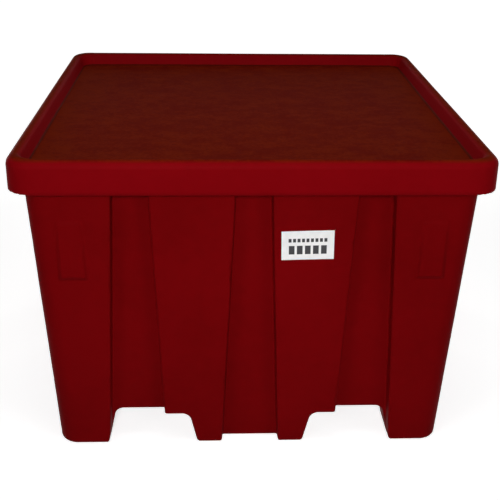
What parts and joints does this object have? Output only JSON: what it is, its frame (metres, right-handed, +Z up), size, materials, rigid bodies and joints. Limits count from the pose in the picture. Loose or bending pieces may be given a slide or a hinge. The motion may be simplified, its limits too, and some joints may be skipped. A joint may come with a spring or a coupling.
{
  "type": "bulk pallet box",
  "caption": "Square tapered bulk container with fluted walls, hollow feet and four-way fork channels under its floor, and a lift-off lid with a sunken stacking tray.",
  "frame": {"origin": "on the floor under the middle of the box", "axes": "+Z up, the labelled front faces -Y, +X to the right seen from the front"},
  "size_m": [1.1196, 1.1196, 0.8003],
  "materials": {
    "container_polyethylene": "satin, faint orange peel",
    "lid_polyethylene": "satin, faint orange peel, scuffed tray",
    "label_film": "satin"
  },
  "bodies": {
    "root": {"container": "container_polyethylene", "lid": "lid_polyethylene", "label": "label_film"}
  },
  "joints": []
}
